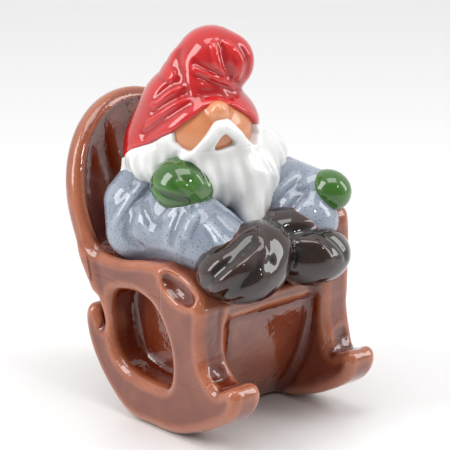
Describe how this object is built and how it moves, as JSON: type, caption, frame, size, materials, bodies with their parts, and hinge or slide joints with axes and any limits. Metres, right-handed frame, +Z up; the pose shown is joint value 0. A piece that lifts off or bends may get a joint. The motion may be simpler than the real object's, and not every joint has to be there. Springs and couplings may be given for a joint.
{
  "type": "garden gnome",
  "caption": "Glazed ceramic gnome with tall red hat and white beard, seated in a rocking chair whose curved runners rest on a short flat.",
  "frame": {"origin": "floor level under the middle of the chair, at the centre of the footprint", "axes": "+Z up, -Y the way the gnome faces, +X to the viewer's right from the front (the gnome's left)"},
  "size_m": [0.091, 0.1342, 0.183],
  "materials": {
    "chair_glaze": "glossy red-brown glaze, darker where it pools",
    "coat_glaze": "glossy grey-blue glaze with dark speckles",
    "mitten_glaze": "glossy dark green glaze",
    "boot_glaze": "glossy black-brown glaze, red-brown at the edges",
    "beard_glaze": "glossy white glaze",
    "skin_glaze": "orange underglaze with a thin gloss",
    "hat_glaze": "glossy bright red glaze"
  },
  "bodies": {
    "root": {"front_panel": "chair_glaze", "rear_panel": "chair_glaze", "base_plate": "chair_glaze", "right_side_wall": "chair_glaze", "left_side_wall": "chair_glaze", "seat": "chair_glaze", "chair_back": "chair_glaze", "right_runner": "chair_glaze", "right_front_post": "chair_glaze", "right_rear_post": "chair_glaze", "right_arm_rest": "chair_glaze", "left_runner": "chair_glaze", "left_front_post": "chair_glaze", "left_rear_post": "chair_glaze", "left_arm_rest": "chair_glaze", "coat": "coat_glaze", "right_sleeve": "coat_glaze", "left_sleeve": "coat_glaze", "right_leg": "coat_glaze", "left_leg": "coat_glaze", "right_mitten": "mitten_glaze", "left_mitten": "mitten_glaze", "right_boot": "boot_glaze", "left_boot": "boot_glaze", "hair": "beard_glaze", "beard": "beard_glaze", "moustache": "beard_glaze", "head": "skin_glaze", "hat": "hat_glaze"}
  },
  "joints": []
}
